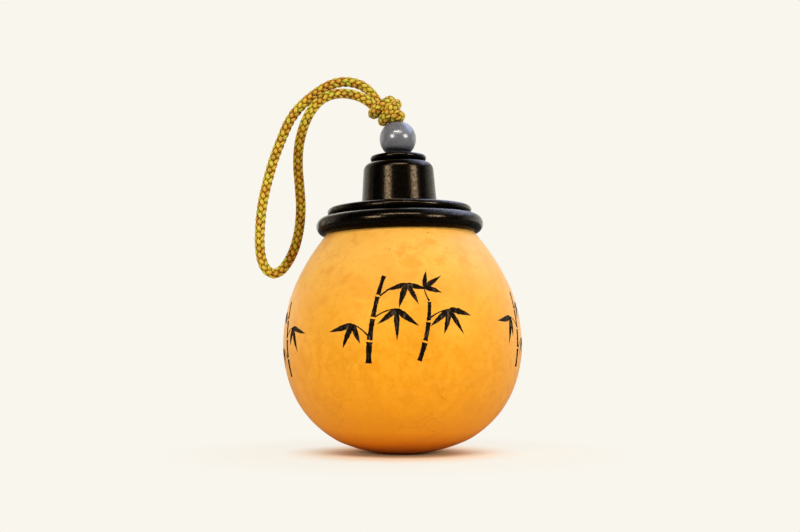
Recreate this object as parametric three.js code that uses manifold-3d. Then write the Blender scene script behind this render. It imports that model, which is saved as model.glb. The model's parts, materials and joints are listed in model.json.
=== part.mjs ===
// A dried bottle gourd made into a small lidded jar: the hollow shell, a turned wooden collar
// on its cut mouth, a turned lid with a plug, a stone bead, and a braided cord that is knotted
// into a carrying loop. The jar leans a little, because the gourd stands on its own round bottom.
// Millimetres, +Z up. The origin is the middle of the jar's footprint on the surface it stands on.

import * as THREE from "three";
import { mergeVertices } from "three/addons/utils/BufferGeometryUtils.js";
import Module from "manifold-3d";

const wasm = await Module();
wasm.setup();

const degrees = THREE.MathUtils.degToRad;

// How the jar stands
const LEAN = degrees(1.3); // towards -X
const FOOT_DEPTH = 0.5; // how much of the round bottom is worn flat
const WIDEST_Z = 40.7; // height of the gourd's belly, which is centred over the origin
const GAP = 0.35; // clear space kept between pieces that touch

// The gourd's outside, from the middle of its bottom up to the cut mouth: radius and height
const GOURD_OUTLINE = [
  [0, 0], [8, 0.5], [15, 1.9], [20.5, 3.6], [25.8, 6.0], [31.8, 10.4], [37.2, 16.3],
  [41.4, 23.7], [44.0, 32.2], [44.9, 40.7], [44.2, 49.3], [42.0, 58.9], [38.5, 67.2],
  [34.0, 74.9], [28.7, 82.2], [26.9, 84.5],
];
const WALL = 4.0;
const OUT_OF_ROUND = 0.008; // share of the radius by which the belly is narrower front to back
const MOUTH_R = 22.5; // bored mouth
const MOUTH_Z = 84.5; // height of the cut rim
const GOURD_SIDES = 48;

// The turned collar that caps the rim
const COLLAR_R = 31.7; // outside
const COLLAR_BOTTOM = 82.4;
const COLLAR_TOP = 89.5;
const COLLAR_BORE = 20.0;
const SLEEVE_BOTTOM = 78.4; // the sleeve reaches down into the gourd's mouth
const TURNED_SIDES = 48;

// The turned lid: plug, flange, tapered grip and top ring
const PLUG_BOTTOM = 83.3;
const FLANGE_R = 27.4;
const FLANGE_TOP = 92.9;
const FLANGE_RISE = 1.1; // the flange's top slopes up this much towards the grip
const GRIP_FOOT_R = 14.3;
const GRIP_HEAD_R = 13.4;
const GRIP_TOP = 110.2;
const SHOULDER_R = 3.2;
const RING_R = 10.7;
const RING_TOP = 112.9;
const KNOT_RECESS_R = 6.2; // room under the lid for the knot that holds the cord
const KNOT_RECESS_TOP = 92.6;

// The bead and the cord
const BEAD_R = 7.0;
const BEAD_Z = 119.4;
const CORD_R = 2.0;
const CORD_HOLE_R = CORD_R + GAP;
const CORD_SIDES = 10;
const STOP_KNOT_R = 5.4;
const STOP_KNOT_HALF_HEIGHT = 4.0;
const STOP_KNOT_Z = 88.0;

// The knot over the bead: the cord wound three times round a core, each turn on a slant of its own
const KNOT_CENTRE = new THREE.Vector3(-5.7, 0, 129.4);
const KNOT_CORE_R = 4.4;
const KNOT_WRAPS = [
  { centre: [-8.05, 0, 131.1], axis: [-0.567, 0.08, 0.825], radius: 3.9 },
  { centre: [-5.1, 0, 128.7], axis: [-0.721, -0.15, 0.693], radius: 4.3 },
  { centre: [-3.3, 0.1, 128.2], axis: [0.12, 0.25, 1], radius: 2.8 },
];

// The middle line of the loop, from the knot over the arch, down, round its lowest point
// and back up into the knot
const LOOP_ROUTE = [
  [-8.9, 1.7, 132.1], [-10.7, 1.9, 135.4], [-13, 2, 138.2], [-16.5, 2, 140.5],
  [-21.5, 1.9, 141.6], [-26.1, 1.8, 141], [-30.5, 1.7, 139], [-34.9, 1.6, 135.8],
  [-39.5, 1.4, 131.6], [-43.2, 1.1, 126.5], [-46.5, 0.8, 118.8], [-49.3, 0.5, 111],
  [-51.7, 0.3, 102.2], [-53.4, 0.1, 93.8], [-54.2, 0, 85.8], [-54.3, 0, 78.4], [-53.5, 0, 72.6],
  [-51.6, 0, 68.8], [-48.9, 0, 67.3], [-46.1, 0, 68.5], [-43.6, 0, 71.6], [-41.4, 0, 76],
  [-39.9, 0, 81.2], [-39, 0, 87.3], [-38.8, 0, 93.5], [-39.3, 0, 100.6], [-39.9, 0, 107.7],
  [-39.8, -0.2, 114.2], [-38.9, -0.5, 119.8], [-37.1, -0.9, 125.5], [-34.5, -1.3, 130.2],
  [-31.1, -1.6, 133.8], [-27.1, -1.8, 135.7], [-22.2, -1.9, 136.2], [-16.9, -1.9, 135.1],
  [-13.1, -1.9, 133.1], [-10.6, -1.8, 130.9],
].map((point) => new THREE.Vector3(...point));
const LOOP_STEPS = 60;

const finishes = {
  gourd: new THREE.MeshStandardMaterial({ color: 0xe8a040, roughness: 0.45, metalness: 0 }),
  darkWood: new THREE.MeshStandardMaterial({ color: 0x17110e, roughness: 0.25, metalness: 0 }),
  stone: new THREE.MeshStandardMaterial({ color: 0x70757f, roughness: 0.15, metalness: 0 }),
  cord: new THREE.MeshStandardMaterial({ color: 0xb5962b, roughness: 0.75, metalness: 0 }),
};

// A closed mesh as a solid that can be joined and cut
function solidOf(geometry) {
  const bare = geometry.clone();
  bare.deleteAttribute("normal");
  bare.deleteAttribute("uv");
  const merged = mergeVertices(bare, 1e-4);
  const corners = merged.index.array;
  const kept = [];
  for (let i = 0; i < corners.length; i += 3) {
    const [a, b, c] = [corners[i], corners[i + 1], corners[i + 2]];
    if (a !== b && b !== c && c !== a) kept.push(a, b, c);
  }
  return new wasm.Manifold(new wasm.Mesh({
    numProp: 3,
    vertProperties: new Float32Array(merged.attributes.position.array),
    triVerts: new Uint32Array(kept),
  }));
}

function geometryOf(solid) {
  const { vertProperties, triVerts } = solid.getMesh();
  const geometry = new THREE.BufferGeometry();
  geometry.setAttribute("position", new THREE.BufferAttribute(vertProperties, 3));
  geometry.setIndex(new THREE.BufferAttribute(triVerts, 1));
  geometry.computeVertexNormals();
  return geometry;
}

// An outline of [radius, height] turned about +Z
function turned(outline, sides) {
  const points = outline.map(([radius, height]) => new THREE.Vector2(radius, height));
  return new THREE.LatheGeometry(points, sides).rotateX(Math.PI / 2);
}

// Points on a round corner, from one angle to another (degrees, 0 along the radius, 90 up)
function roundCorner(radius, height, corner, from, to, steps) {
  return Array.from({ length: steps + 1 }, (_, i) => {
    const angle = degrees(from + ((to - from) * i) / steps);
    return [radius + corner * Math.cos(angle), height + corner * Math.sin(angle)];
  });
}

// A tube of round section along a curve, flat at both ends
function tube(curve, radius, sides, steps) {
  const section = new THREE.Shape();
  section.absarc(0, 0, radius, 0, Math.PI * 2, false);
  return new THREE.ExtrudeGeometry(section, {
    steps, extrudePath: curve, bevelEnabled: false, curveSegments: sides / 2,
  });
}

// The gourd's outside as evenly spaced points on a smooth curve
function gourdOutline(count) {
  const curve = new THREE.SplineCurve(GOURD_OUTLINE.map(([r, z]) => new THREE.Vector2(r, z)));
  return curve.getSpacedPoints(count);
}

// The outside moved inwards by the wall, without the part above the mouth
function cavityOutline(count) {
  const outside = gourdOutline(count);
  const inside = [];
  for (let i = 1; i < outside.length - 1; i += 1) {
    const along = outside[i + 1].clone().sub(outside[i - 1]).normalize();
    const point = [outside[i].x - along.y * WALL, outside[i].y + along.x * WALL];
    const underMouth = point[0] > MOUTH_R || point[1] < WIDEST_Z;
    if (point[0] > 0.5 && underMouth) inside.push(point);
  }
  return inside;
}

// A grown gourd is a little narrower one way than the other, though not at its two ends
function growUneven(geometry) {
  const position = geometry.attributes.position;
  for (let i = 0; i < position.count; i += 1) {
    const [x, y, z] = [position.getX(i), position.getY(i), position.getZ(i)];
    const share = Math.sin(Math.PI * THREE.MathUtils.clamp(z / MOUTH_Z, 0, 1)) ** 2;
    const narrow = 1 - OUT_OF_ROUND * (1 - Math.cos(2 * Math.atan2(y, x))) * share;
    position.setXY(i, x * narrow, y * narrow);
  }
  return geometry;
}

function gourdShell(placing) {
  const outside = gourdOutline(24).map((point) => [point.x, point.y]);
  const body = solidOf(growUneven(turned([...outside, [0, MOUTH_Z]], GOURD_SIDES)));
  const inside = cavityOutline(20);
  const topOfCavity = inside[inside.length - 1][1];
  const cavity = solidOf(growUneven(turned([
    [0, WALL], ...inside, [MOUTH_R, topOfCavity + 0.5], [MOUTH_R, MOUTH_Z + WALL],
    [0, MOUTH_Z + WALL],
  ], GOURD_SIDES)));
  const floorSize = 120;
  const floor = new THREE.BoxGeometry(floorSize, floorSize, floorSize);
  floor.translate(0, 0, -floorSize / 2);
  floor.applyMatrix4(placing.clone().invert());
  return geometryOf(body.subtract(cavity).subtract(solidOf(floor)));
}

function collar() {
  const edge = (COLLAR_TOP - COLLAR_BOTTOM) / 2;
  const sleeve = MOUTH_R - GAP;
  const channelTop = MOUTH_Z + GAP;
  return turned([
    [COLLAR_BORE, SLEEVE_BOTTOM + 0.6],
    [COLLAR_BORE + 0.6, SLEEVE_BOTTOM],
    [sleeve - 0.4, SLEEVE_BOTTOM],
    [sleeve, SLEEVE_BOTTOM + 0.4],
    [sleeve, channelTop],
    [27.4, channelTop],
    ...roundCorner(COLLAR_R - edge, COLLAR_BOTTOM + edge, edge, -73, 90, 12),
    [COLLAR_BORE + 0.6, COLLAR_TOP],
    [COLLAR_BORE, COLLAR_TOP - 0.6],
    [COLLAR_BORE, SLEEVE_BOTTOM + 0.6],
  ], TURNED_SIDES);
}

function lid() {
  const flangeBottom = COLLAR_TOP + GAP;
  const flangeEdge = (FLANGE_TOP - flangeBottom) / 2;
  const plug = COLLAR_BORE - GAP;
  const ringEdge = 1.1;
  const fillet = 0.8;
  return turned([
    [CORD_HOLE_R, KNOT_RECESS_TOP],
    [KNOT_RECESS_R, KNOT_RECESS_TOP],
    [KNOT_RECESS_R, PLUG_BOTTOM],
    [plug - 0.8, PLUG_BOTTOM],
    [plug, PLUG_BOTTOM + 0.8],
    [plug, flangeBottom],
    ...roundCorner(FLANGE_R - flangeEdge, flangeBottom + flangeEdge, flangeEdge, -90, 90, 8),
    [GRIP_FOOT_R + fillet, FLANGE_TOP + FLANGE_RISE],
    [GRIP_FOOT_R, FLANGE_TOP + FLANGE_RISE + fillet],
    ...roundCorner(GRIP_HEAD_R - SHOULDER_R, GRIP_TOP - SHOULDER_R, SHOULDER_R, 0, 84, 6),
    [RING_R - 1.1, GRIP_TOP + 0.2],
    ...roundCorner(RING_R - ringEdge, RING_TOP - ringEdge, ringEdge, -50, 90, 5),
    [CORD_HOLE_R + 1.1, RING_TOP],
    [CORD_HOLE_R, RING_TOP - 0.8],
    [CORD_HOLE_R, KNOT_RECESS_TOP],
  ], TURNED_SIDES);
}

function bead() {
  const boreHalf = Math.sqrt(BEAD_R ** 2 - CORD_HOLE_R ** 2);
  const tilt = THREE.MathUtils.radToDeg(Math.asin(boreHalf / BEAD_R));
  const outside = roundCorner(0, BEAD_Z, BEAD_R, -tilt, tilt, 14);
  return turned([...outside, outside[0]], 28);
}

function verticalCord(from, to) {
  const line = new THREE.LineCurve3(new THREE.Vector3(0, 0, from), new THREE.Vector3(0, 0, to));
  return tube(line, CORD_R, CORD_SIDES, 4);
}

function stopKnot() {
  return new THREE.SphereGeometry(1, 16, 10).rotateX(Math.PI / 2)
    .scale(STOP_KNOT_R, STOP_KNOT_R, STOP_KNOT_HALF_HEIGHT)
    .translate(0, 0, STOP_KNOT_Z);
}

// The hole where a strand of the loop enters the knot
function strandSocket(end, next) {
  const inwards = end.clone().sub(next).normalize();
  const deepest = end.clone().addScaledVector(inwards, GAP);
  const mouth = end.clone().addScaledVector(inwards, -3 * CORD_R);
  return solidOf(tube(new THREE.LineCurve3(deepest, mouth), CORD_HOLE_R + 0.1, 16, 1));
}

function knot(beadCentre) {
  const core = new THREE.SphereGeometry(KNOT_CORE_R, 20, 14)
    .translate(KNOT_CENTRE.x, KNOT_CENTRE.y, KNOT_CENTRE.z);
  let solid = solidOf(core);
  for (const { centre, axis, radius } of KNOT_WRAPS) {
    const towards = new THREE.Vector3(...axis).normalize();
    const turn = new THREE.Quaternion().setFromUnitVectors(new THREE.Vector3(0, 0, 1), towards);
    const wrap = new THREE.TorusGeometry(radius, CORD_R, 10, 20)
      .applyQuaternion(turn)
      .translate(...centre);
    solid = solid.add(solidOf(wrap));
  }
  const clearOfBead = new THREE.SphereGeometry(BEAD_R + GAP, 32, 20)
    .translate(beadCentre.x, beadCentre.y, beadCentre.z);
  const last = LOOP_ROUTE.length - 1;
  solid = solid.subtract(solidOf(clearOfBead))
    .subtract(strandSocket(LOOP_ROUTE[0], LOOP_ROUTE[1]))
    .subtract(strandSocket(LOOP_ROUTE[last], LOOP_ROUTE[last - 1]));
  return geometryOf(solid);
}

function cordLoop() {
  return tube(new THREE.CatmullRomCurve3(LOOP_ROUTE), CORD_R, CORD_SIDES, LOOP_STEPS);
}

function piece(name, geometry, material) {
  const mesh = new THREE.Mesh(geometry, material);
  mesh.name = name;
  return mesh;
}

// The jar and everything on its axis lean together, and the cord hangs as it falls
const leaning = new THREE.Group();
leaning.rotation.y = -LEAN;
leaning.position.set(WIDEST_Z * Math.sin(LEAN), 0, -FOOT_DEPTH);
leaning.updateMatrix();
const beadCentre = new THREE.Vector3(0, 0, BEAD_Z).applyMatrix4(leaning.matrix);

leaning.add(
  piece("gourd_shell", gourdShell(leaning.matrix), finishes.gourd),
  piece("collar", collar(), finishes.darkWood),
  piece("lid", lid(), finishes.darkWood),
  piece("bead", bead(), finishes.stone),
  piece("cord_tail", verticalCord(STOP_KNOT_Z + STOP_KNOT_HALF_HEIGHT + GAP,
    BEAD_Z + BEAD_R - GAP), finishes.cord),
  piece("stop_knot", stopKnot(), finishes.cord),
);

const jar = new THREE.Group();
jar.name = "gourd_jar";
jar.add(
  leaning,
  piece("cord_knot", knot(beadCentre), finishes.cord),
  piece("cord_loop", cordLoop(), finishes.cord),
);

export default jar;
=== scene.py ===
"""A dried bottle gourd made into a small lidded jar, dressed and lit for a studio picture.

The hollow gourd with its carved and inked sprays of bamboo, the turned collar and lid, the stone
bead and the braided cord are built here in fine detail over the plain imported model, in metres and
in that model's own frame: +Z up, the front towards -Y, the cord's loop on the -X side.
"""

import json
import logging
import math
import random
from collections.abc import Iterable, Mapping, Sequence
from dataclasses import dataclass, field
from enum import Enum
from functools import partial

import bmesh
import bpy
import numpy as np
from mathutils import Matrix, Vector

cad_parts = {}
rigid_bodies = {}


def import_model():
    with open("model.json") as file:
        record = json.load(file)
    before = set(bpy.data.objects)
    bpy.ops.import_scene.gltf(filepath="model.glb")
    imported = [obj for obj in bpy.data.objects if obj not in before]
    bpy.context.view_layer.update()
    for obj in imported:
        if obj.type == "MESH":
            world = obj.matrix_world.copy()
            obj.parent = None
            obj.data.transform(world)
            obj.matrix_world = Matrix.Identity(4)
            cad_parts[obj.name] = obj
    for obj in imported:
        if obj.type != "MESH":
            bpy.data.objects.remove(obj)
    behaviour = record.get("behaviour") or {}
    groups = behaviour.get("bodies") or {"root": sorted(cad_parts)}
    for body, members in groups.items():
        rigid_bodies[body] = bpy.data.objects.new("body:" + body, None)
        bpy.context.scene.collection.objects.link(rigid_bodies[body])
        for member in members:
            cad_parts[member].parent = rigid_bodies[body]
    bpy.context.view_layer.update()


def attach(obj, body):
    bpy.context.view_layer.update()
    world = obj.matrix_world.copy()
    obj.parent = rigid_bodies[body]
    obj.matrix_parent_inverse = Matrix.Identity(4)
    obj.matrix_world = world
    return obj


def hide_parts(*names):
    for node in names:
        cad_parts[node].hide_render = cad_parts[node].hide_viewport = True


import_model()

log = logging.getLogger("gourd_jar")

MM = 0.001
BODY = "root"

Colour = tuple[float, float, float, float]
Outline = list[tuple[float, float]]
Stops = tuple[tuple[float, str], ...]
# the two values that a Map Range node reads between, and the two that it gives, if not 0 and 1
Span = tuple[float, ...]

SOFT = {"interpolation_type": "SMOOTHSTEP"}


def linear(hex_code: str) -> Colour:
    """Turn an sRGB hex colour into the linear colour that the shaders take.

    Args:
        hex_code: the colour as "#RRGGBB".

    Returns:
        Linear red, green, blue and an alpha of one.
    """
    parts = [int(hex_code[i:i + 2], 16) / 255 for i in (1, 3, 5)]
    r, g, b = (p / 12.92 if p <= 0.04045 else ((p + 0.055) / 1.055) ** 2.4 for p in parts)
    return (r, g, b, 1.0)


def add_node(tree: bpy.types.NodeTree, kind: str,
             inputs: Mapping[str | int, object] | Sequence[object] = (),
             **settings: object) -> bpy.types.Node:
    """Add a node with its settings, its values and its links.

    Args:
        tree: the node tree that the node goes into.
        kind: Blender's name for the type of node, without "ShaderNode" where it has that.
        inputs: for each input in turn, or by its name or number: a value, an output socket to
            link from, or a node whose first output is meant.
        settings: the node's own properties; "stops" holds a ramp's (place, hex colour) pairs.

    Returns:
        The new node.
    """
    whole = kind.startswith(("GeometryNode", "NodeGroup"))
    node = tree.nodes.new(kind if whole else "ShaderNode" + kind)
    for name, value in settings.items():
        if name == "stops":
            ramp = node.color_ramp.elements
            while len(ramp) < len(value):
                ramp.new(1.0)
            for stop, (place, hex_code) in zip(ramp, value):
                stop.position = place
                stop.color = linear(hex_code)
        else:
            setattr(node, name, value)
    for key, value in inputs.items() if isinstance(inputs, Mapping) else enumerate(inputs):
        if isinstance(value, bpy.types.Node):
            value = value.outputs[0]
        if isinstance(value, bpy.types.NodeSocket):
            tree.links.new(value, node.inputs[key])
        else:
            node.inputs[key].default_value = value
    return node


def scale_for(size_mm: float) -> float:
    """The scale of a pattern on Object coordinates, from the real size of its grains in mm."""
    return 1000 / size_mm


def empty_material(name: str) -> tuple[bpy.types.Material, bpy.types.NodeTree]:
    """Make a material whose node tree is still empty.

    Args:
        name: the material's name.

    Returns:
        The material and its tree.
    """
    material = bpy.data.materials.new(name)
    material.use_nodes = True
    material.node_tree.nodes.clear()
    return material, material.node_tree


def plain_mesh(name: str, points: Iterable[Sequence[float]], faces: Iterable[Sequence[int]],
               material: bpy.types.Material | None = None) -> bpy.types.Object:
    """Make an object at the origin from points and faces, smooth and with its faces outwards.

    Args:
        name: the object's name.
        points: the vertices, in metres.
        faces: the vertex numbers of each face.
        material: its finish, if it has one yet.

    Returns:
        The object, linked to the scene.
    """
    mesh = bpy.data.meshes.new(name)
    mesh.from_pydata([tuple(p) for p in points], [], [tuple(f) for f in faces])
    work = bmesh.new()
    work.from_mesh(mesh)
    bmesh.ops.recalc_face_normals(work, faces=work.faces)
    work.to_mesh(mesh)
    work.free()
    mesh.shade_smooth()
    if material:
        mesh.materials.append(material)
    made = bpy.data.objects.new(name, mesh)
    bpy.context.scene.collection.objects.link(made)
    return made


def points_of(mesh: bpy.types.Mesh) -> np.ndarray:
    """Read where a mesh's vertices are.

    Args:
        mesh: the mesh.

    Returns:
        The vertices, one in each row.
    """
    flat = np.empty(len(mesh.vertices) * 3)
    mesh.vertices.foreach_get("co", flat)
    return flat.reshape(-1, 3)


def way_along(line: np.ndarray) -> np.ndarray:
    """The direction of a line at each of its points, which are its rows."""
    ahead = np.gradient(line, axis=0)
    return ahead / np.linalg.norm(ahead, axis=1)[:, None]


def corner(radius: float, height: float, edge: float, start: float, end: float,
           steps: int) -> Outline:
    """Points on a rounded corner of a turned outline.

    Args:
        radius: radius at the corner's centre, in mm.
        height: height of the corner's centre, in mm.
        edge: the corner's own radius, in mm.
        start: first angle in degrees, 0 along the radius and 90 upwards.
        end: last angle in degrees.
        steps: how many steps lie between the two.

    Returns:
        Radius and height of each point, in mm.
    """
    angles = [math.radians(start + (end - start) * i / steps) for i in range(steps + 1)]
    return [(radius + edge * math.cos(a), height + edge * math.sin(a)) for a in angles]


def turned(name: str, outline: Outline, sides: int, place: Matrix,
           material: bpy.types.Material, sharp: float = 40.0) -> bpy.types.Object:
    """Turn an outline about the vertical axis into a closed piece.

    Args:
        name: the object's name.
        outline: radius and height in mm; it starts and ends on the axis, or closes on itself.
        sides: number of steps round the axis.
        place: where the turned piece stands.
        material: its finish.
        sharp: edges that turn by more than this many degrees stay crisp.

    Returns:
        The object.
    """
    on_axis = outline[0][0] == 0
    turns = [2 * math.pi * i / sides for i in range(sides)]
    points: list[Vector] = []
    rings: list[list[int]] = []
    for radius, height in outline:
        if radius == 0:
            rings.append([len(points)] * sides)
            points.append(Vector((0, 0, height * MM)))
        else:
            rings.append(list(range(len(points), len(points) + sides)))
            points += [Vector((radius * MM * math.cos(t), radius * MM * math.sin(t), height * MM))
                       for t in turns]
    if not on_axis:
        rings.append(rings[0])
    faces = []
    for low, high in zip(rings, rings[1:]):
        for i in range(sides):
            j = (i + 1) % sides
            face = dict.fromkeys((low[i], low[j], high[j], high[i]))
            faces.append(tuple(face))
    made = plain_mesh(name, [place @ p for p in points], faces, material)
    made.data.set_sharp_from_angle(angle=math.radians(sharp))
    return made


@dataclass(frozen=True)
class Stance:
    """How the jar stands: it leans a little, on the worn spot of the gourd's round bottom."""

    lean_deg: float = 1.3
    belly_height: float = 40.7
    foot_depth: float = 0.5

    @property
    def place(self) -> Matrix:
        """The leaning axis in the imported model's frame.

        Returns:
            The matrix that takes a place on the upright jar there, in metres.
        """
        lean = math.radians(self.lean_deg)
        shift = Vector((self.belly_height * math.sin(lean), 0, -self.foot_depth)) * MM
        return Matrix.Translation(shift) @ Matrix.Rotation(-lean, 4, "Y")


STANCE = Stance()


# ---------------------------------------------------------------------------------------------
# Finishes
# ---------------------------------------------------------------------------------------------


@dataclass(frozen=True)
class DriedGourdSkin:
    """Scraped, dried and waxed skin of a bottle gourd, with ink rubbed into the carved cuts.

    It gives the eye a warm orange that turns yellow towards the neck and brown at the bottom; the
    yellow near the neck is partly a painted sheen and the brown foot partly painted shade. It also
    has soft mottling, hair-fine cracks, a few dark specks, a broad waxed sheen and a pale bloom
    that shows where the skin turns away from the eye.
    """

    height_mm: float = 85.0
    patch_mm: float = 15.0
    mottle_mm: float = 2.8
    blotch_mm: float = 6.5
    bend_mm: float = 5.0
    crack_mm: float = 6.0
    crack_area_mm: float = 14.0
    speck_mm: float = 4.5
    streak_mm: float = 0.9
    # heights in metres: the brown foot, partly painted shade, has no bloom, no light spots and no
    # patches
    above_foot: Span = (0.004, 0.036)
    clear_foot: Span = (0.004, 0.022)
    uneven_height: float = 0.009
    # spans of the noises
    deep_patches: Span = (0.44, 0.7, 0.0, 0.6)
    deep_mottles: Span = (0.5, 0.32, 0.0, 0.45)
    deep_blotches: Span = (0.52, 0.36, 0.0, 0.5)
    pale_mottles: Span = (0.44, 0.72, 0.0, 0.5)
    # cracks: how far they wander, how thin they are, where they are, and fewer near the neck
    crack_bend: float = 0.006
    crack_line: Span = (0.004, 0.03, 1.0, 0.0)
    crack_areas: Span = (0.42, 0.64, 0.0, 0.31)
    crack_rise: Span = (0.0, 1.0, 1.0, 0.3)
    speck_reach: Span = (0.7, 1.0, 0.0, 0.075)
    speck_depth: float = 0.55
    ink_grain: tuple[float, float, float] = (1.0, 1.0, 0.22)
    dry_ink: Span = (0.53, 0.72, 0.0, 0.85)
    roughness: float = 0.4
    uneven_gloss: float = 0.08
    ink_roughness: float = 0.25
    wax: float = 0.5
    wax_off_ink: float = 0.36
    bloom: float = 0.4
    bloom_tone: str = "#FFE4C0"
    # the skin's colour up its height, with painted sheen in the yellow near the neck and painted
    # shade in the brown at the foot
    skin_sheen_shade_stops: Stops = (
        (0.00, "#B45800"), (0.045, "#CE6E01"), (0.11, "#EA8E07"), (0.25, "#EA9610"),
        (0.42, "#E89C1A"), (0.62, "#EDAA31"), (0.85, "#F2BA55"))
    patch: str = "#D9830C"
    pale: str = "#F0AA34"
    waxy: str = "#FFC880"
    crack: str = "#9A5406"
    speck: str = "#50290A"
    ink: str = "#040302"
    worn_ink: str = "#6A5A48"
    pith: str = "#B98F55"

    def material(self) -> bpy.types.Material:
        """Build the skin's node material.

        Returns:
            The material.
        """
        made, tree = empty_material("dried_waxed_gourd_skin")
        node = partial(add_node, tree)
        place = node("TexCoord").outputs["Object"]
        height = node("SeparateXYZ", (place,)).outputs["Z"]
        patches = node("TexNoise", {
            "Vector": place, "Scale": scale_for(self.patch_mm), "Detail": 4.0,
            "Roughness": 0.55, "Distortion": 0.4})
        mottles = node("TexNoise", {
            "Vector": place, "Scale": scale_for(self.mottle_mm), "Detail": 5.0, "Roughness": 0.62})
        blotches = node("TexNoise", {
            "Vector": place, "Scale": scale_for(self.blotch_mm), "Detail": 4.0, "Roughness": 0.65})
        above = node("MapRange", (height, *self.above_foot), **SOFT)
        uneven = node("Math", (patches, 2 * self.uneven_height, -self.uneven_height),
                      operation="MULTIPLY_ADD")
        level = node("Math", (uneven, above, height), operation="MULTIPLY_ADD")
        share = node("MapRange", (level, 0.0, self.height_mm * MM))

        deep = node("MapRange", (patches, *self.deep_patches))
        for noise, span in ((mottles, self.deep_mottles), (blotches, self.deep_blotches)):
            deep = node("Math", (deep, node("MapRange", (noise, *span))), operation="MAXIMUM")
        clear = node("MapRange", (height, *self.clear_foot), **SOFT)
        deep = node("Math", (deep, clear), operation="MULTIPLY")
        light = node("MapRange", (mottles, *self.pale_mottles))
        light = node("Math", (light, above), operation="MULTIPLY")

        wobble = node("TexNoise", {"Vector": place, "Scale": scale_for(self.bend_mm),
                                   "Detail": 3.0}).outputs["Color"]
        bent = node("Mix", {0: self.crack_bend, 4: place, 5: wobble},
                    data_type="VECTOR").outputs[1]
        edge = node("TexVoronoi", {"Vector": bent, "Scale": scale_for(self.crack_mm)},
                    feature="DISTANCE_TO_EDGE")
        where = node("TexNoise", {"Vector": place, "Scale": scale_for(self.crack_area_mm),
                                  "Detail": 2.0})
        cracks = node("MapRange", (edge, *self.crack_line))
        for value, span in ((where, self.crack_areas), (share, self.crack_rise)):
            cracks = node("Math", (cracks, node("MapRange", (value, *span))), operation="MULTIPLY")

        dots = node("TexVoronoi", {"Vector": place, "Scale": scale_for(self.speck_mm)}).outputs
        chance = node("SeparateColor", (dots["Color"],))
        reach = node("MapRange", (chance, *self.speck_reach))
        specks = node("Math", (dots["Distance"], reach), operation="LESS_THAN")
        specks = node("Math", (specks, self.speck_depth), operation="MULTIPLY")

        inside, inked = (node("Attribute", attribute_name=name).outputs["Fac"]
                         for name in ("inner_wall", "inked"))
        drawn = node("Mapping", {"Vector": place, "Scale": self.ink_grain})
        streaks = node("TexNoise", {
            "Vector": drawn, "Scale": scale_for(self.streak_mm), "Detail": 5.0, "Roughness": 0.65})
        dry = node("MapRange", (streaks, *self.dry_ink))
        ink = node("Mix", {0: dry, 6: linear(self.ink), 7: linear(self.worn_ink)},
                   data_type="RGBA").outputs[2]

        # the height ramp: the skin's colour with painted sheen near the neck and painted shade at
        # the foot
        colour = node("ValToRGB", (share,), stops=self.skin_sheen_shade_stops)
        for cover, tone in (
                (deep, linear(self.patch)), (light, linear(self.pale)),
                (cracks, linear(self.crack)), (specks, linear(self.speck)),
                (inside, linear(self.pith)), (inked, ink)):
            colour = node("Mix", {0: cover, 6: colour, 7: tone}, data_type="RGBA").outputs[2]

        gloss = node("Math", (mottles, 2 * self.uneven_gloss, self.roughness - self.uneven_gloss),
                     operation="MULTIPLY_ADD")
        dull = node("Math", (inked, self.ink_roughness, gloss), operation="MULTIPLY_ADD")
        waxed = node("Math", (inked, -self.wax_off_ink, self.wax), operation="MULTIPLY_ADD")
        bloom = node("Math", (above, self.bloom), operation="MULTIPLY")
        grain = node("Bump", {"Strength": 0.35, "Distance": 0.12 * MM, "Height": mottles})
        wavy = node("Bump", {"Strength": 0.5, "Distance": 0.6 * MM, "Height": patches,
                             "Normal": grain})
        surface = node("BsdfPrincipled", {
            "Base Color": colour, "Roughness": dull, "IOR": 1.42, "Specular IOR Level": waxed,
            "Specular Tint": linear(self.waxy), "Sheen Weight": bloom,
            "Sheen Roughness": 0.4, "Sheen Tint": linear(self.bloom_tone), "Normal": wavy})
        node("OutputMaterial", (surface,))
        return made


@dataclass(frozen=True)
class LacqueredDarkWood:
    """Turned dark hardwood under clear lacquer: nearly black, with faint brown figure.

    Its pores print through the lacquer, so a highlight on it breaks up into warm specks. The
    lathe's polish doesn't reach the undersides, which stay dull.
    """

    pore_mm: float = 0.65
    figure_mm: float = 2.2
    drawn: tuple[float, float, float] = (1.0, 0.12, 1.0)
    pore_shine: Span = (0.36, 0.64, 0.12, 0.52)
    # read from how far the surface looks upwards
    polished: Span = (-0.75, -0.3, 0.12)
    roughness: float = 0.2
    figure: Stops = ((0.38, "#010101"), (0.72, "#050302"))
    warm: str = "#EED0A8"

    def material(self) -> bpy.types.Material:
        """Build the wood's node material.

        Returns:
            The material.
        """
        made, tree = empty_material("turned_lacquered_dark_wood")
        node = partial(add_node, tree)
        seen = node("TexCoord").outputs
        drawn = node("Mapping", {"Vector": seen["Object"], "Scale": self.drawn})
        figure = node("TexNoise", {
            "Vector": drawn, "Scale": scale_for(self.figure_mm), "Detail": 5.0, "Distortion": 0.6})
        colour = node("ValToRGB", (figure,), stops=self.figure)
        pores = node("TexNoise", {
            "Vector": seen["Object"], "Scale": scale_for(self.pore_mm), "Detail": 1.5,
            "Roughness": 0.5})
        shine = node("MapRange", (pores, *self.pore_shine))
        facing = node("SeparateXYZ", (seen["Normal"],)).outputs["Z"]
        rubbed = node("MapRange", (facing, *self.polished), **SOFT)
        shine = node("Math", (shine, rubbed), operation="MULTIPLY")
        peel = node("Bump", {"Strength": 0.5, "Distance": 0.04 * MM, "Height": pores})
        surface = node("BsdfPrincipled", {
            "Base Color": colour, "Roughness": self.roughness, "IOR": 1.52,
            "Specular IOR Level": shine, "Specular Tint": linear(self.warm), "Normal": peel})
        node("OutputMaterial", (surface,))
        return made


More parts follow.
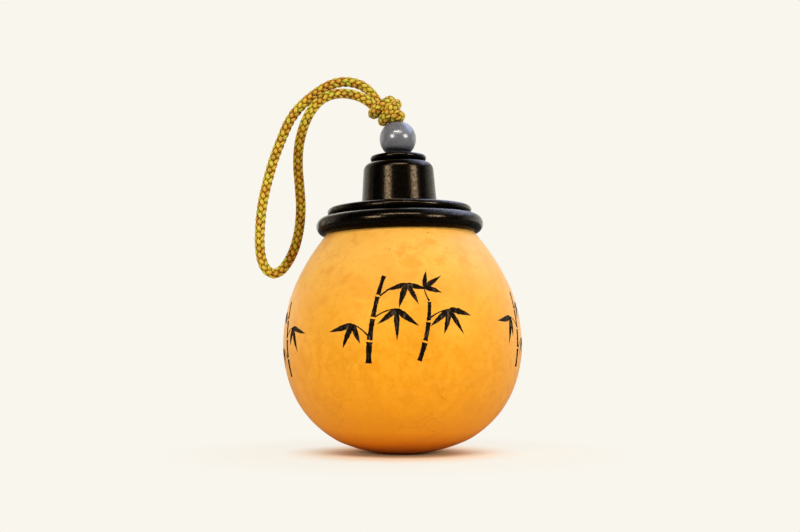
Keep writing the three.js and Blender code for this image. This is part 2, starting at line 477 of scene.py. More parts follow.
@dataclass(frozen=True)
class PolishedAgate:
    """Tumbled and polished grey agate: cool grey, a little clear, with faint level bands.

    It is painted nearly black at its foot, a painted reflection of the dark wood below it. Its
    IOR is above that of quartz, so that it mirrors the lamps as strongly as a wet polish does.
    """

    band_mm: float = 1.1
    cloud_mm: float = 6.0
    levelled: tuple[float, float, float] = (0.08, 0.08, 1.0)
    # heights in metres over which the painted dark reflection at the foot fades out
    above_foot: Span = (0.1141, 0.1162)
    foot_reflection_share: float = 0.55
    cloud_share: float = 0.25
    roughness: float = 0.26
    # the darkest stop carries the painted reflection of the dark wood at the foot
    tones: Stops = ((0.45, "#0F0C0A"), (0.85, "#555860"), (1.0, "#6B6D74"))

    def material(self) -> bpy.types.Material:
        """Build the stone's node material.

        Returns:
            The material.
        """
        made, tree = empty_material("polished_grey_agate")
        node = partial(add_node, tree)
        place = node("TexCoord").outputs["Object"]
        height = node("SeparateXYZ", (place,)).outputs["Z"]
        cloud = node("TexNoise", {"Vector": place, "Scale": scale_for(self.cloud_mm),
                                  "Detail": 2.0})
        level = node("Mapping", {"Vector": place, "Scale": self.levelled})
        mixed = node("TexNoise", {"Vector": level, "Scale": scale_for(self.band_mm),
                                  "Detail": 3.0})
        # painted reflection of the dark wood: the stone goes nearly black towards its foot
        clear = node("MapRange", (height, *self.above_foot))
        for part, share in ((clear, self.foot_reflection_share), (cloud, self.cloud_share)):
            mixed = node("Math", (part, share, mixed), operation="MULTIPLY_ADD")
        colour = node("ValToRGB", (mixed,), stops=self.tones)
        surface = node("BsdfPrincipled", {
            "Base Color": colour, "Roughness": self.roughness, "IOR": 1.9,
            "Subsurface Weight": 0.35, "Subsurface Radius": (1.0, 1.0, 1.1),
            "Subsurface Scale": 1.5 * MM})
        node("OutputMaterial", (surface,))
        return made


@dataclass(frozen=True)
class BraidedPolyester:
    """Braided polyester cord of mixed yarns: yellow-green, gold, orange and brown stitches.

    The colour changes from stitch to stitch and fine filaments run along each yarn. Painted
    shade turns the crevices between the stitches dark olive, a painted highlight lightens the
    crest of each stitch, and painted shade darkens the limb beside the jar.
    """

    filaments: float = 15.0
    strand_mm: float = 2.2
    stitch_share: float = 0.68
    fibre_share: float = 0.25
    # how much painted shade the crevices get and how much painted highlight the crests get, read
    # from each yarn's crest
    crevice_shade_span: Span = (-0.2, 0.8, 0.98, 0.0)
    crest_highlight_span: Span = (0.55, 1.0, 0.0, 0.42)
    # the limb beside the jar, which is painted darker as shade: places along X and Z, in metres
    by_jar: Span = (-0.047, -0.042)
    below_arch: Span = (0.116, 0.131, 1.0, 0.0)
    roughness: float = 0.5
    yarns: Stops = (
        (0.00, "#8C9A22"), (0.20, "#B4B42E"), (0.42, "#CCAA2A"), (0.62, "#C08814"),
        (0.80, "#AC5608"), (0.94, "#66560A"))
    # painted highlight on the crests, the specular tint, painted shade in the crevices and painted
    # shade on the limb beside the jar
    crest_highlight_tone: str = "#F6D868"
    shine: str = "#FFDC60"
    crevice_shade_tone: str = "#171001"
    limb_shade_tone: str = "#CFBFA2"

    def material(self) -> bpy.types.Material:
        """Build the cord's node material.

        Returns:
            The material.
        """
        made, tree = empty_material("braided_polyester_cord")
        node = partial(add_node, tree)
        stitch, strand, along, turn, crest = (
            node("Attribute", attribute_name=name).outputs["Fac"]
            for name in ("stitch", "strand", "along", "turn", "crest"))
        pair = node("CombineXYZ", (strand, stitch))
        pick = node("TexWhiteNoise", (pair,))
        yarn = node("TexWhiteNoise", {"W": strand}, noise_dimensions="1D")
        yarn = node("Math", (yarn, 1 - self.stitch_share), operation="MULTIPLY")
        blend = node("Math", (pick, self.stitch_share, yarn), operation="MULTIPLY_ADD")
        around = node("Math", (turn, self.filaments), operation="MULTIPLY")
        down = node("Math", (along, scale_for(self.strand_mm)), operation="MULTIPLY")
        thread = node("CombineXYZ", (around, down, strand))
        fibre = node("TexNoise", {"Vector": thread, "Scale": 1.0, "Detail": 3.0,
                                  "Roughness": 0.6})
        shift = node("Math", (fibre, 2 * self.fibre_share, -self.fibre_share),
                     operation="MULTIPLY_ADD")
        picked = node("Math", (blend, shift), operation="ADD")
        colour = node("ValToRGB", (picked,), stops=self.yarns)

        place = node("SeparateXYZ", (node("TexCoord").outputs["Object"],)).outputs
        # painted shade: the limb beside the jar, below the arch, is darkened as if it lay in shade
        by_jar = node("MapRange", (place["X"], *self.by_jar), **SOFT)
        hanging = node("MapRange", (place["Z"], *self.below_arch), **SOFT)
        worn = node("Math", (by_jar, hanging), operation="MULTIPLY")
        # painted shade between the stitches and a painted highlight on each stitch's crest
        depth = node("MapRange", (crest, *self.crevice_shade_span))
        top = node("MapRange", (crest, *self.crest_highlight_span))
        for cover, tone, way in ((depth, self.crevice_shade_tone, "MIX"), (top, self.crest_highlight_tone, "MIX"),
                                 (worn, self.limb_shade_tone, "MULTIPLY")):
            colour = node("Mix", {0: cover, 6: colour, 7: linear(tone)}, data_type="RGBA",
                          blend_type=way).outputs[2]
        raised = node("Bump", {"Strength": 0.5, "Distance": 0.08 * MM, "Height": fibre})
        surface = node("BsdfPrincipled", {
            "Base Color": colour, "Roughness": self.roughness, "IOR": 1.5,
            "Specular IOR Level": 0.3, "Specular Tint": linear(self.shine), "Normal": raised})
        node("OutputMaterial", (surface,))
        return made


@dataclass(frozen=True)
class PaperSweep:
    """Matt cream paper lit from behind, which takes a soft shadow and fades into the backdrop."""

    contact_mm: float = 18.0
    near_mm: float = 48.0
    far_mm: float = 100.0
    glow: float = 0.86
    flagged: float = 0.85
    paper: str = "#EFDDB4"
    backdrop: str = "#F9F6EE"

    def material(self) -> bpy.types.Material:
        """Build the paper's node material, which is dimmer where something polished mirrors it.

        Returns:
            The material.
        """
        made, tree = empty_material("matt_studio_paper")
        node = partial(add_node, tree)
        place = node("TexCoord").outputs["Object"]
        away = node("VectorMath", (place,), operation="LENGTH").outputs["Value"]
        rise, rest = (node("MapRange", (away, start * MM, end * MM, 0.0, most), **SOFT)
                      for start, end, most in ((self.contact_mm, self.near_mm, self.glow),
                                               (self.near_mm, self.far_mm, 1 - self.glow)))
        fade = node("Math", (rise, rest), operation="ADD")
        matt = node("BsdfDiffuse", {"Color": linear(self.paper)})
        lit = node("Emission", {"Color": linear(self.backdrop), "Strength": 1.0})
        both = node("MixShader", (fade, matt, lit))
        mirrored = node("LightPath").outputs["Is Glossy Ray"]
        share = node("Math", (mirrored, self.flagged), operation="MULTIPLY")
        unlit = node("Emission", {"Strength": 0.0})
        seen = node("MixShader", (share, both, unlit))
        node("OutputMaterial", (seen,))
        return made


# ---------------------------------------------------------------------------------------------
# The studio
# ---------------------------------------------------------------------------------------------


@dataclass(frozen=True)
class Softbox:
    """One diffused studio lamp that looks at the jar."""

    name: str
    azimuth: float
    elevation: float
    width: float
    height: float
    watts: float
    colour: str = "#FFFFFF"
    distance: float = 1.0

    def build(self, target: Vector) -> bpy.types.Object:
        """Set the lamp up.

        Args:
            target: the point that it looks at.

        Returns:
            The light object.
        """
        data = bpy.data.lights.new(self.name, "AREA")
        data.shape = "RECTANGLE"
        data.size, data.size_y = self.width, self.height
        data.energy = self.watts
        data.color = linear(self.colour)[:3]
        lamp = bpy.data.objects.new(self.name, data)
        bpy.context.scene.collection.objects.link(lamp)
        a, e = math.radians(self.azimuth), math.radians(self.elevation)
        out = Vector((math.sin(a) * math.cos(e), -math.cos(a) * math.cos(e), math.sin(e)))
        lamp.location = target + out * self.distance
        lamp.rotation_euler = (-out).to_track_quat("-Z", "Y").to_euler()
        return lamp


@dataclass
class Studio:
    """The camera, the lamps, the surroundings and the paper that the jar stands on."""

    camera_place: tuple[float, float, float] = (-0.000947, -0.440, 0.0371)
    camera_pitch_deg: float = 4.3
    lens: float = 52.27
    target: Vector = field(default_factory=lambda: Vector((0.0, 0.0, 0.06)))
    lamps: tuple[Softbox, ...] = (
        Softbox("left_softbox", -35, 14, 0.30, 0.24, 3.6, "#FFF8EE"),
        Softbox("right_softbox", 50, 15, 0.30, 0.24, 3.7, "#FFF8EE"),
        Softbox("top_softbox", 0, 42, 0.80, 0.10, 5.0, "#FFF6EC"),
    )
    paper: PaperSweep = PaperSweep()
    backdrop: str = "#F9F6EE"
    behind_camera: float = 0.015
    round_jar: float = 1.12
    overhead: float = 0.15
    flank_fill: float = 1.0
    back_glow: float = 2.2
    mirrored_glow: float = 2.8
    window: float = 1.45
    window_way: tuple[float, float, float] = (0.66, 0.0, 0.75)
    window_pane: Span = (0.88, 0.98)
    daylight: str = "#CCD8FF"
    # spans of the parts of a direction over which the room's light changes
    to_back: Span = (-0.1, 0.5)
    upwards: Span = (0.15, 0.75)
    sideways: Span = (0.5, 1.0)
    beyond: Span = (0.3, 0.6)
    high: Span = (0.4, 0.6)
    to_right: Span = (-0.2, 0.25)
    sweep_side: float = 2.5
    sweep_front: float = -0.2

    def camera(self) -> bpy.types.Object:
        """Set the camera at the picture's place and angle.

        Returns:
            The camera.
        """
        data = bpy.data.cameras.new("camera")
        data.lens = self.lens
        data.sensor_width = 36.0
        data.clip_start, data.clip_end = 0.01, 20.0
        made = bpy.data.objects.new("camera", data)
        made.location = self.camera_place
        made.rotation_euler = (math.radians(90 + self.camera_pitch_deg), 0, 0)
        bpy.context.scene.collection.objects.link(made)
        bpy.context.scene.camera = made
        return made

    def surroundings(self) -> None:
        """Light the room: a cream backdrop, dark behind the camera, cool from the upper right."""
        world = bpy.data.worlds.new("studio")
        world.use_nodes = True
        tree = world.node_tree
        tree.nodes.clear()
        node = partial(add_node, tree)
        way = node("TexCoord").outputs["Generated"]
        part = node("SeparateXYZ", (way,)).outputs
        ray = node("LightPath").outputs
        behind = node("MapRange", (part["Y"], *self.to_back, self.behind_camera, self.round_jar),
                      **SOFT)
        low = node("MapRange", (part["Z"], *self.upwards, 1.0, self.overhead), **SOFT)
        across = node("Math", (part["X"],), operation="ABSOLUTE")
        flank = node("MapRange", (across, *self.sideways, 0.0, self.flank_fill), **SOFT)
        unmirrored = node("Math", (1.0, ray["Is Glossy Ray"]), operation="SUBTRACT")
        fill = node("Math", (flank, unmirrored), operation="MULTIPLY")
        level = node("Math", (behind, low, fill), operation="MULTIPLY_ADD")
        paper = node("Mix", {0: 1.0, 6: linear(self.backdrop), 7: level}, data_type="RGBA",
                     blend_type="MULTIPLY").outputs[2]

        aside = node("Math", (part["X"], 0.5, part["Y"]), operation="MULTIPLY_ADD")
        beyond = node("MapRange", (aside, *self.beyond), **SOFT)
        high = node("MapRange", (part["Z"], *self.high), **SOFT)
        glow = node("Math", (beyond, high), operation="MULTIPLY")
        right = node("MapRange", (part["X"], *self.to_right))
        tone = node("Mix", {0: right, 6: linear(self.backdrop), 7: linear(self.daylight)},
                    data_type="RGBA").outputs[2]
        strength = node("MapRange", (ray["Is Glossy Ray"], 0.0, 1.0, self.back_glow,
                                     self.mirrored_glow))
        bright = node("VectorMath", {0: tone, "Scale": strength}, operation="SCALE")
        room = node("Mix", {0: glow, 6: paper, 7: bright}, data_type="RGBA").outputs[2]

        towards = node("VectorMath", (way, self.window_way),
                       operation="DOT_PRODUCT").outputs["Value"]
        pane = node("MapRange", (towards, *self.window_pane, 0.0, self.window), **SOFT)
        cool = node("VectorMath", {0: linear(self.daylight)[:3], "Scale": pane},
                    operation="SCALE")
        room = node("VectorMath", (room, cool), operation="ADD")
        colour = node("Mix", {0: ray["Is Camera Ray"], 6: room, 7: linear(self.backdrop)},
                      data_type="RGBA").outputs[2]
        light = node("Background", {"Color": colour, "Strength": 1.0})
        node("OutputWorld", (light,))
        bpy.context.scene.world = world

    def build(self) -> None:
        """Set up everything that isn't the jar."""
        self.camera()
        for lamp in self.lamps:
            lamp.build(self.target)
        self.surroundings()
        side, front, below = self.sweep_side, self.sweep_front, -0.05 * MM
        sweep = plain_mesh("paper_sweep", [(-side, front, below), (side, front, below),
                                           (side, side, below), (-side, side, below)],
                           [(0, 1, 2, 3)], self.paper.material())
        bpy.context.scene.view_settings.view_transform = "Standard"
        log.info("studio: camera, %d softboxes and the paper sweep", len(self.lamps))


# ---------------------------------------------------------------------------------------------
# The braided cord
# ---------------------------------------------------------------------------------------------


def smooth_route(points: Sequence[Sequence[float]], per_span: int) -> np.ndarray:
    """Run a centripetal Catmull-Rom curve through the points.

    Args:
        points: the points of the route.
        per_span: how many steps each span is given.

    Returns:
        The points of the smooth curve, one in each row.
    """
    p = np.asarray(points, float)
    p = np.vstack([2 * p[0] - p[1], p, 2 * p[-1] - p[-2]])
    made = []
    for i in range(1, len(p) - 2):
        knots = [0.0]
        for a, b in zip(p[i - 1:i + 2], p[i:i + 3]):
            knots.append(knots[-1] + np.linalg.norm(b - a) ** 0.5)
        t0, t1, t2, t3 = knots
        for t in np.linspace(t1, t2, per_span, endpoint=False):
            a1 = (t1 - t) / (t1 - t0) * p[i - 1] + (t - t0) / (t1 - t0) * p[i]
            a2 = (t2 - t) / (t2 - t1) * p[i] + (t - t1) / (t2 - t1) * p[i + 1]
            a3 = (t3 - t) / (t3 - t2) * p[i + 1] + (t - t2) / (t3 - t2) * p[i + 2]
            b1 = (t2 - t) / (t2 - t0) * a1 + (t - t0) / (t2 - t0) * a2
            b2 = (t3 - t) / (t3 - t1) * a2 + (t - t1) / (t3 - t1) * a3
            made.append((t2 - t) / (t2 - t1) * b1 + (t - t1) / (t2 - t1) * b2)
    made.append(p[-2])
    return np.array(made)


@dataclass
class RoundBraid:
    """A round braid of yarns, half of them winding each way, each over two and under the next two.

    The node tree repeats the route once for each yarn, winds every copy round it, lets it
    rise and dip at fixed places round the cord, and gives it a flat oval section.
    """

    yarns_each_way: int = 6
    lead: float = 15.2 * MM
    middle_radius: float = 1.22 * MM
    rise: float = 0.36 * MM
    yarn_width: float = 1.4 * MM
    yarn_thickness: float = 0.88 * MM
    core_radius: float = 1.05 * MM
    step: float = 0.29 * MM
    section_points: int = 8
    finish: BraidedPolyester = BraidedPolyester()
    made_tree: bpy.types.GeometryNodeTree | None = None
    made_material: bpy.types.Material | None = None

    def sizes(self) -> dict[str, float | int]:
        """Name the sizes as the node tree's inputs are named.

        Returns:
            The value of each input.
        """
        return {
            "Yarns Each Way": self.yarns_each_way, "Lead": self.lead,
            "Middle Radius": self.middle_radius, "Rise": self.rise,
            "Yarn Width": self.yarn_width, "Yarn Thickness": self.yarn_thickness,
            "Core Radius": self.core_radius, "Step": self.step,
            "Section Points": self.section_points,
        }

    def material(self) -> bpy.types.Material:
        """The cord's finish, made once.

        Returns:
            The material.
        """
        if self.made_material is None:
            self.made_material = self.finish.material()
        return self.made_material

    def tree(self) -> bpy.types.GeometryNodeTree:
        """The braid's node tree, made once.

        Returns:
            The tree, which takes the sizes as its named inputs.
        """
        if self.made_tree is not None:
            return self.made_tree
        tree = bpy.data.node_groups.new("round_braid", "GeometryNodeTree")
        face = tree.interface
        face.new_socket("Geometry", in_out="INPUT", socket_type="NodeSocketGeometry")
        for name, value in self.sizes().items():
            kind = "NodeSocketInt" if isinstance(value, int) else "NodeSocketFloat"
            face.new_socket(name, in_out="INPUT", socket_type=kind)
        face.new_socket("Geometry", in_out="OUTPUT", socket_type="NodeSocketGeometry")
        node = partial(add_node, tree)
        given = node("NodeGroupInput").outputs
        each_way = given["Yarns Each Way"]

        # one copy of the route for each yarn; the second half of them winds the other way
        route = node("GeometryNodeResampleCurve", {
            "Curve": given["Geometry"], "Length": given["Step"]}, mode="LENGTH")
        count = node("Math", (each_way, 2.0), operation="MULTIPLY")
        copies = node("GeometryNodeDuplicateElements", {"Geometry": route, "Amount": count},
                      domain="SPLINE").outputs
        strands = node("GeometryNodeStoreNamedAttribute", {
            "Geometry": copies["Geometry"], "Name": "strand", "Value": copies["Duplicate Index"]})
        strand = node("GeometryNodeInputNamedAttribute", {"Name": "strand"})
        last = node("Math", (each_way, 0.5), operation="SUBTRACT")
        other_way = node("Math", (strand, last), operation="GREATER_THAN")
        sign = node("Math", (other_way, -2.0, 1.0), operation="MULTIPLY_ADD")

        # how far round the yarn is, and whether it rises over the others or dips under them
        length = node("GeometryNodeSplineParameter").outputs["Length"]
        winds = node("Math", (length, given["Lead"]), operation="DIVIDE")
        winds = node("Math", (winds, sign), operation="MULTIPLY")
        place_in_ring = node("Math", (strand, each_way), operation="DIVIDE")
        turn = node("Math", (place_in_ring, winds), operation="ADD")
        columns = node("Math", (each_way, 0.5), operation="MULTIPLY")
        beat = node("Math", (turn, columns, -0.125), operation="MULTIPLY_ADD")
        angle, phase = (node("Math", (value, 2 * math.pi), operation="MULTIPLY")
                        for value in (turn, beat))
        swing = node("Math", (phase,), operation="COSINE")
        crest = node("Math", (sign, swing), operation="MULTIPLY")
        late = node("Math", (other_way, -0.5, 0.5), operation="MULTIPLY_ADD")
        stitch = node("Math", (beat, late), operation="ADD")
        stitch = node("Math", (stitch,), operation="FLOOR")
        radius = node("Math", (crest, given["Rise"], given["Middle Radius"]),
                      operation="MULTIPLY_ADD")

        normal = node("GeometryNodeInputNormal")
        side = node("VectorMath", (node("GeometryNodeInputTangent"), normal),
                    operation="CROSS_PRODUCT")
        parts = []
        for direction, way in ((normal, "COSINE"), (side, "SINE")):
            amount = node("Math", (angle,), operation=way)
            parts.append(node("VectorMath", {0: direction, "Scale": amount}, operation="SCALE"))
        outward = node("VectorMath", parts, operation="ADD")
        shift = node("VectorMath", {0: outward, "Scale": radius}, operation="SCALE")

        # what the yarns need later is kept on their points before they are moved
        for name, value, kind in (("along", length, "FLOAT"), ("stitch", stitch, "FLOAT"),
                                  ("crest", crest, "FLOAT"),
                                  ("outward", outward, "FLOAT_VECTOR")):
            strands = node("GeometryNodeStoreNamedAttribute", {
                "Geometry": strands, "Name": name, "Value": value}, data_type=kind)
        strands = node("GeometryNodeSetPosition", {"Geometry": strands, "Offset": shift})
        held = node("GeometryNodeInputNamedAttribute", {"Name": "outward"},
                    data_type="FLOAT_VECTOR")
        strands = node("GeometryNodeSetCurveNormal", {"Curve": strands, "Normal": held},
                       mode="FREE")
        kept = node("GeometryNodeInputNamedAttribute", {"Name": "crest"})
        plump = node("Math", (kept, 0.1, 1.0), operation="MULTIPLY_ADD")
        strands = node("GeometryNodeSetCurveRadius", {"Curve": strands, "Radius": plump})

        section = node("GeometryNodeCurvePrimitiveCircle", {
            "Resolution": given["Section Points"], "Radius": 0.5})
        section = node("GeometryNodeStoreNamedAttribute", {
            "Geometry": section, "Name": "turn",
            "Value": node("GeometryNodeSplineParameter").outputs["Factor"]})
        flat = node("CombineXYZ", (given["Yarn Thickness"], given["Yarn Width"], 1.0))
        section = node("GeometryNodeTransform", {"Geometry": section, "Scale": flat})

        # the core fills the middle and only shows between the yarns; its crest of -1 gives it the
        # painted shade of the crevices
        core_section = node("GeometryNodeCurvePrimitiveCircle", {
            "Resolution": 8, "Radius": given["Core Radius"]})
        core_step = node("Math", (given["Step"], 4.0), operation="MULTIPLY")
        core_route = node("GeometryNodeResampleCurve", {
            "Curve": given["Geometry"], "Length": core_step}, mode="LENGTH")
        core_route = node("GeometryNodeStoreNamedAttribute", {
            "Geometry": core_route, "Name": "crest", "Value": -1.0})

        joined = node("GeometryNodeJoinGeometry")
        for curve, profile in ((strands, section), (core_route, core_section)):
            solid = node("GeometryNodeCurveToMesh", {
                "Curve": curve, "Profile Curve": profile, "Fill Caps": True})
            tree.links.new(solid.outputs[0], joined.inputs[0])
        whole = node("GeometryNodeSetShadeSmooth", {"Geometry": joined, "Shade Smooth": True})
        whole = node("GeometryNodeRealizeInstances", {"Geometry": whole})
        whole = node("GeometryNodeSetMaterial", {"Geometry": whole, "Material": self.material()})
        node("NodeGroupOutput", {"Geometry": whole})
        self.made_tree = tree
        return tree

    def along(self, name: str, route: np.ndarray, drawn_in: float = 1.0) -> bpy.types.Object:
        """Braid the cord along a route.

        Args:
            name: the piece's name.
            route: the points that it follows, in metres.
            drawn_in: the share of their length that the stitches keep where it's pulled tight.

        Returns:
            The braided piece as a plain mesh.
        """
        data = bpy.data.curves.new(name + "_route", "CURVE")
        data.dimensions = "3D"
        line = data.splines.new("POLY")
        line.points.add(len(route) - 1)
        line.points.foreach_set("co", np.hstack([route, np.ones((len(route), 1))]).ravel())
        guide = bpy.data.objects.new(name + "_route", data)
        bpy.context.scene.collection.objects.link(guide)
        braid = guide.modifiers.new("round_braid", "NODES")
        braid.node_group = self.tree()
        sockets = {s.name: s.identifier for s in braid.node_group.interface.items_tree
                   if s.item_type == "SOCKET" and s.in_out == "INPUT"}
        for socket, value in self.sizes().items():
            braid[sockets[socket]] = value
        braid[sockets["Lead"]] = self.lead * drawn_in
        graph = bpy.context.evaluated_depsgraph_get()
        mesh = bpy.data.meshes.new_from_object(guide.evaluated_get(graph))
        bpy.data.objects.remove(guide)
        bpy.data.curves.remove(data)
        mesh.name = name
        made = bpy.data.objects.new(name, mesh)
        bpy.context.scene.collection.objects.link(made)
        return made


@dataclass
class CarryingCord:
    """One length of 4 mm braided cord: the loop, the knot on the bead, and the tied tail."""

    diameter: float = 4.0
    loop_route: tuple[tuple[float, float, float], ...] = (
        (-8.9, 1.7, 132.1), (-10.7, 1.9, 135.4), (-13, 2, 138.2), (-16.5, 2, 140.5),
        (-21.5, 1.9, 141.6), (-26.1, 1.8, 141), (-30.5, 1.7, 139), (-34.9, 1.6, 135.8),
        (-39.5, 1.4, 131.6), (-43.2, 1.1, 126.5), (-46.5, 0.8, 118.8), (-49.3, 0.5, 111),
        (-51.7, 0.3, 102.2), (-53.4, 0.1, 93.8), (-54.2, 0, 85.8), (-54.3, 0, 78.4),
        (-53.5, 0, 72.6), (-51.6, 0, 68.8), (-48.9, 0, 67.3), (-46.1, 0, 68.5),
        (-43.6, 0, 71.6), (-41.4, 0, 76), (-39.9, 0, 81.2), (-39, 0, 87.3), (-38.8, 0, 93.5),
        (-39.3, 0, 100.6), (-39.9, 0, 107.7), (-39.8, -0.2, 114.2), (-38.9, -0.5, 119.8),
        (-37.1, -0.9, 125.5), (-34.5, -1.3, 130.2), (-31.1, -1.6, 133.8), (-27.1, -1.8, 135.7),
        (-22.2, -1.9, 136.2), (-16.9, -1.9, 135.1), (-13.1, -1.9, 133.1), (-10.6, -1.8, 130.9))
    reach_into_knot: float = 2.4
    knot_wraps: tuple[tuple[float, float, float, float, float], ...] = (
        (-7.9, 131.25, 3.45, 2.5, 3.9), (-4.9, 129.2, 2.65, 3.3, 4.4),
        (-2.6, 127.3, 1.8, 0.5, 3.6))
    knot_tuck: float = 0.4
    knot_blend: float = 0.44
    steps_in_wrap: int = 44
    tail_ends: tuple[float, float] = (88.0, 127.6)
    tail_steps: int = 60
    stop_centre: float = 88.0
    stop_wrap: float = 3.2
    stop_pitch: float = 2.7
    stop_turns: float = 2.0
    stop_tuck: float = 0.45
    steps_in_turn: int = 48
    tight: float = 0.68
    braid: RoundBraid = field(default_factory=RoundBraid)

    def knot_under_lid(self) -> np.ndarray:
        """Wind the knot under the lid round the jar's axis, with both ends tucked inside.

        Returns:
            The route's points, in metres.
        """
        half = self.stop_turns / 2
        reach = half + self.stop_tuck
        points = []
        for t in np.linspace(-reach, reach, int(self.stop_turns * self.steps_in_turn)):
            past = max(0.0, abs(t) - half) / self.stop_tuck
            radius = self.stop_wrap * (1 - 0.72 * past * past)
            move = math.copysign(min(abs(t), half) - 0.35 * past, t) * self.stop_pitch
            a = 2 * math.pi * t
            point = Vector((-radius * math.cos(a), -radius * math.sin(a), self.stop_centre + move))
            points.append(STANCE.place @ (point * MM))
        return np.array(points)

    def knot(self) -> np.ndarray:
        """Wind the knot on the bead, one wrap after the other, with its ends tucked inside.

        Each wrap has its middle, half its width and height as seen from the front, and half
        its depth; it starts at the back and runs down and forwards first.

        Returns:
            The route's points, in metres.
        """
        wraps = np.array(self.knot_wraps)
        tuck, count = self.knot_tuck, len(wraps)
        points = []
        for t in np.linspace(-tuck, count + tuck, self.steps_in_wrap * count):
            inside = min(max(t, 0.0), count - 0.001)
            share = inside - round(inside)
            first, second = (min(max(round(inside) - back, 0), count - 1) for back in (1, 0))
            blend = min(max(share / self.knot_blend + 0.5, 0.0), 1.0)
            blend = blend * blend * (3 - 2 * blend)
            x, z, half_x, half_z, depth = wraps[first] * (1 - blend) + wraps[second] * blend
            shrink = 1 - 0.8 * (abs(t - inside) / tuck) ** 1.5
            a = 2 * math.pi * t
            points.append((x - half_x * math.sin(a) * shrink, depth * math.cos(a) * shrink,
                           z - half_z * math.sin(a) * shrink))
        return np.array(points) * MM

    def build(self) -> None:
        free = smooth_route(self.loop_route, 8)
        ends = [e / np.linalg.norm(e) * self.reach_into_knot
                for e in (free[0] - free[1], free[-1] - free[-2])]
        route = np.vstack([free[0] + ends[0], free, free[-1] + ends[1]]) * MM
        loop = self.braid.along("braided_loop", route)

        knot = self.braid.along("wound_knot", self.knot(), self.tight)
        axis = [STANCE.place @ Vector((0, 0, z * MM))
                for z in np.linspace(*self.tail_ends, self.tail_steps)]
        tail = self.braid.along("cord_through_lid", np.array(axis))
        stopper = self.braid.along("knot_under_lid", self.knot_under_lid())

        for piece, node in ((loop, "cord_loop"), (knot, "cord_knot"), (tail, "cord_tail"),
                            (stopper, "stop_knot")):
            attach(piece, BODY)
            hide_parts(node)
            log.info("cord: %s has %d faces", piece.name, len(piece.data.polygons))


# ---------------------------------------------------------------------------------------------
# The gourd and its carving
# ---------------------------------------------------------------------------------------------


class SprayKind(Enum):
    """The two layouts of the carved bamboo."""

    BROAD = "two culms and five groups of leaves"
    SLENDER = "one culm and three groups of leaves"


@dataclass(frozen=True)
class Cut:
    """One cut of the carving knife on the unrolled skin, in mm from the spray's middle."""

    line: tuple[tuple[float, float], ...]
    widths: tuple[float, ...]


def bowed(start: tuple[float, float], end: tuple[float, float], bow: float,
          shares: np.ndarray) -> tuple[tuple[float, float], ...]:
    """Points on a line that bows to its left.

    Args:
        start: where the line starts.
        end: where it ends.
        bow: how far its middle stands off the straight line.
        shares: how far along the line each point lies, from 0 to 1.

    Returns:
        The points.
    """
    p, q = np.array(start), np.array(end)
    sideways = np.array([-(q - p)[1], (q - p)[0]]) / np.linalg.norm(q - p)
    return tuple(tuple(p + (q - p) * t + sideways * bow * 4 * t * (1 - t)) for t in shares)


